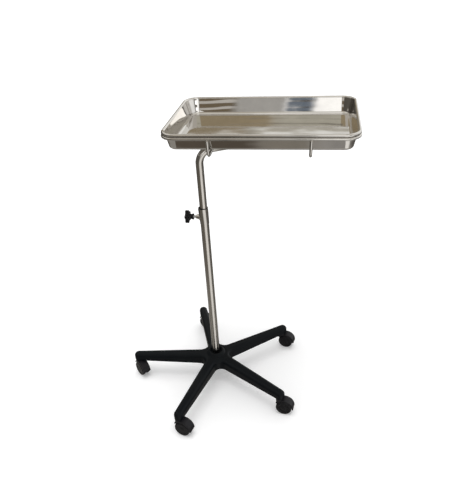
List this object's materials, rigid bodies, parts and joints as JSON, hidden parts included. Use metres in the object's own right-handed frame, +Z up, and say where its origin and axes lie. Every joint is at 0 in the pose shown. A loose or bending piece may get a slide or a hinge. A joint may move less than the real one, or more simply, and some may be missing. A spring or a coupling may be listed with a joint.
{
  "type": "instrument table",
  "caption": "Wheeled instrument table: star base on swivelling twin-wheel casters, telescoping column with star-knob clamp, bent mast and ring frame holding a lift-off steel tray.",
  "frame": {"origin": "on the floor, under the middle of the object's outline at rest", "axes": "+X along the tray's long side towards its free end, +Y away from the operator across the tray, +Z up along the column"},
  "size_m": [0.7179, 0.5585, 0.888],
  "materials": {
    "base_nylon": "fine moulded texture, satin black",
    "column_steel": "polished stainless tube",
    "mast_steel": "polished stainless tube",
    "frame_steel": "polished stainless round bar",
    "tray_steel": "bright polished stainless sheet",
    "collar_steel": "polished stainless",
    "stud_steel": "bright zinc-plated steel",
    "fastener_steel": "zinc-plated steel",
    "pad_brass": "turned brass",
    "bush_plastic": "black moulded plastic",
    "knob_plastic": "black moulded plastic, satin",
    "caster_nylon": "black moulded nylon",
    "wheel_nylon": "black moulded nylon"
  },
  "bodies": {
    "base": {"base_star": "base_nylon", "column_tube": "column_steel", "column_foot_plug": "fastener_steel", "column_foot_bolt": "fastener_steel", "column_foot_washer": "fastener_steel", "collar": "collar_steel", "collar_bush": "bush_plastic", "clamp_nut": "collar_steel", "stem_grip_rings": "fastener_steel", "caster_stem_1": "fastener_steel", "caster_stem_2": "fastener_steel", "caster_stem_3": "fastener_steel", "caster_stem_4": "fastener_steel", "caster_stem_5": "fastener_steel"},
    "slider": {"slide_plug": "bush_plastic"},
    "mast": {"mast_tube": "mast_steel", "arm_end_cap": "bush_plastic", "ring_frame": "frame_steel", "cross_rod_left": "frame_steel", "cross_rod_right": "frame_steel"},
    "tray": {"tray": "tray_steel"},
    "clamp_feed": {"pressure_pad": "pad_brass"},
    "clamp_screw": {"clamp_stud": "stud_steel", "star_knob": "knob_plastic"},
    "caster_1": {"caster_fork_1": "caster_nylon", "caster_axle_1": "fastener_steel"},
    "wheel_left_1": {"caster_wheel_left_1": "wheel_nylon"},
    "wheel_right_1": {"caster_wheel_right_1": "wheel_nylon"},
    "caster_2": {"caster_fork_2": "caster_nylon", "caster_axle_2": "fastener_steel"},
    "wheel_left_2": {"caster_wheel_left_2": "wheel_nylon"},
    "wheel_right_2": {"caster_wheel_right_2": "wheel_nylon"},
    "caster_3": {"caster_fork_3": "caster_nylon", "caster_axle_3": "fastener_steel"},
    "wheel_left_3": {"caster_wheel_left_3": "wheel_nylon"},
    "wheel_right_3": {"caster_wheel_right_3": "wheel_nylon"},
    "caster_4": {"caster_fork_4": "caster_nylon", "caster_axle_4": "fastener_steel"},
    "wheel_left_4": {"caster_wheel_left_4": "wheel_nylon"},
    "wheel_right_4": {"caster_wheel_right_4": "wheel_nylon"},
    "caster_5": {"caster_fork_5": "caster_nylon", "caster_axle_5": "fastener_steel"},
    "wheel_left_5": {"caster_wheel_left_5": "wheel_nylon"},
    "wheel_right_5": {"caster_wheel_right_5": "wheel_nylon"}
  },
  "joints": [
    {"name": "height", "type": "slide", "parent": "base", "child": "slider", "axis": [0, 0, 1], "range_m": [-0.13, 0.27]},
    {"name": "mast_swivel", "type": "hinge", "parent": "slider", "child": "mast", "pos_m": [-0.0701, 0.0078, 0.232], "axis": [0, 0, 1], "continuous": true},
    {"name": "tray_lift", "type": "slide", "parent": "mast", "child": "tray", "axis": [0, 0, 1], "range_m": [0, 0.08]},
    {"name": "clamp_travel", "type": "slide", "parent": "base", "child": "clamp_feed", "axis": [-1, 0, 0], "range_m": [0, 0.0025]},
    {"name": "clamp_turn", "type": "hinge", "parent": "clamp_feed", "child": "clamp_screw", "pos_m": [-0.1151, 0.0078, 0.611], "axis": [-1, 0, 0], "range_deg": [0, 720]},
    {"name": "caster_swivel_1", "type": "hinge", "parent": "base", "child": "caster_1", "pos_m": [-0.34134, -0.00404, 0.0595], "axis": [0, 0, 1], "continuous": true},
    {"name": "wheel_left_roll_1", "type": "hinge", "parent": "caster_1", "child": "wheel_left_1", "pos_m": [-0.33183, -0.01291, 0.025], "axis": [0.682, 0.7314, 0], "continuous": true},
    {"name": "wheel_right_roll_1", "type": "hinge", "parent": "caster_1", "child": "wheel_right_1", "pos_m": [-0.33183, -0.01291, 0.025], "axis": [0.682, 0.7314, 0], "continuous": true},
    {"name": "caster_swivel_2", "type": "hinge", "parent": "base", "child": "caster_2", "pos_m": [-0.14266, -0.25383, 0.0595], "axis": [0, 0, 1], "continuous": true},
    {"name": "wheel_left_roll_2", "type": "hinge", "parent": "caster_2", "child": "wheel_left_2", "pos_m": [-0.13022, -0.25763, 0.025], "axis": [0.2924, 0.9563, 0], "continuous": true},
    {"name": "wheel_right_roll_2", "type": "hinge", "parent": "caster_2", "child": "wheel_right_2", "pos_m": [-0.13022, -0.25763, 0.025], "axis": [0.2924, 0.9563, 0], "continuous": true},
    {"name": "caster_swivel_3", "type": "hinge", "parent": "base", "child": "caster_3", "pos_m": [0.1563, -0.14205, 0.0595], "axis": [0, 0, 1], "continuous": true},
    {"name": "wheel_left_roll_3", "type": "hinge", "parent": "caster_3", "child": "wheel_left_3", "pos_m": [0.16917, -0.14386, 0.025], "axis": [0.1392, 0.9903, 0], "continuous": true},
    {"name": "wheel_right_roll_3", "type": "hinge", "parent": "caster_3", "child": "wheel_right_3", "pos_m": [0.16917, -0.14386, 0.025], "axis": [0.1392, 0.9903, 0], "continuous": true},
    {"name": "caster_swivel_4", "type": "hinge", "parent": "base", "child": "caster_4", "pos_m": [0.14238, 0.17681, 0.0595], "axis": [0, 0, 1], "continuous": true},
    {"name": "wheel_left_roll_4", "type": "hinge", "parent": "caster_4", "child": "wheel_left_4", "pos_m": [0.15514, 0.17433, 0.025], "axis": [0.1908, 0.9816, 0], "continuous": true},
    {"name": "wheel_right_roll_4", "type": "hinge", "parent": "caster_4", "child": "wheel_right_4", "pos_m": [0.15514, 0.17433, 0.025], "axis": [0.1908, 0.9816, 0], "continuous": true},
    {"name": "caster_swivel_5", "type": "hinge", "parent": "base", "child": "caster_5", "pos_m": [-0.16518, 0.26211, 0.0595], "axis": [0, 0, 1], "continuous": true},
    {"name": "wheel_left_roll_5", "type": "hinge", "parent": "caster_5", "child": "wheel_left_5", "pos_m": [-0.1534, 0.25661, 0.025], "axis": [0.4226, 0.9063, 0], "continuous": true},
    {"name": "wheel_right_roll_5", "type": "hinge", "parent": "caster_5", "child": "wheel_right_5", "pos_m": [-0.1534, 0.25661, 0.025], "axis": [0.4226, 0.9063, 0], "continuous": true}
  ],
  "couplings": [
    {"joint": "clamp_turn", "follows": "clamp_travel", "rad_per_m": 5026.5}
  ]
}
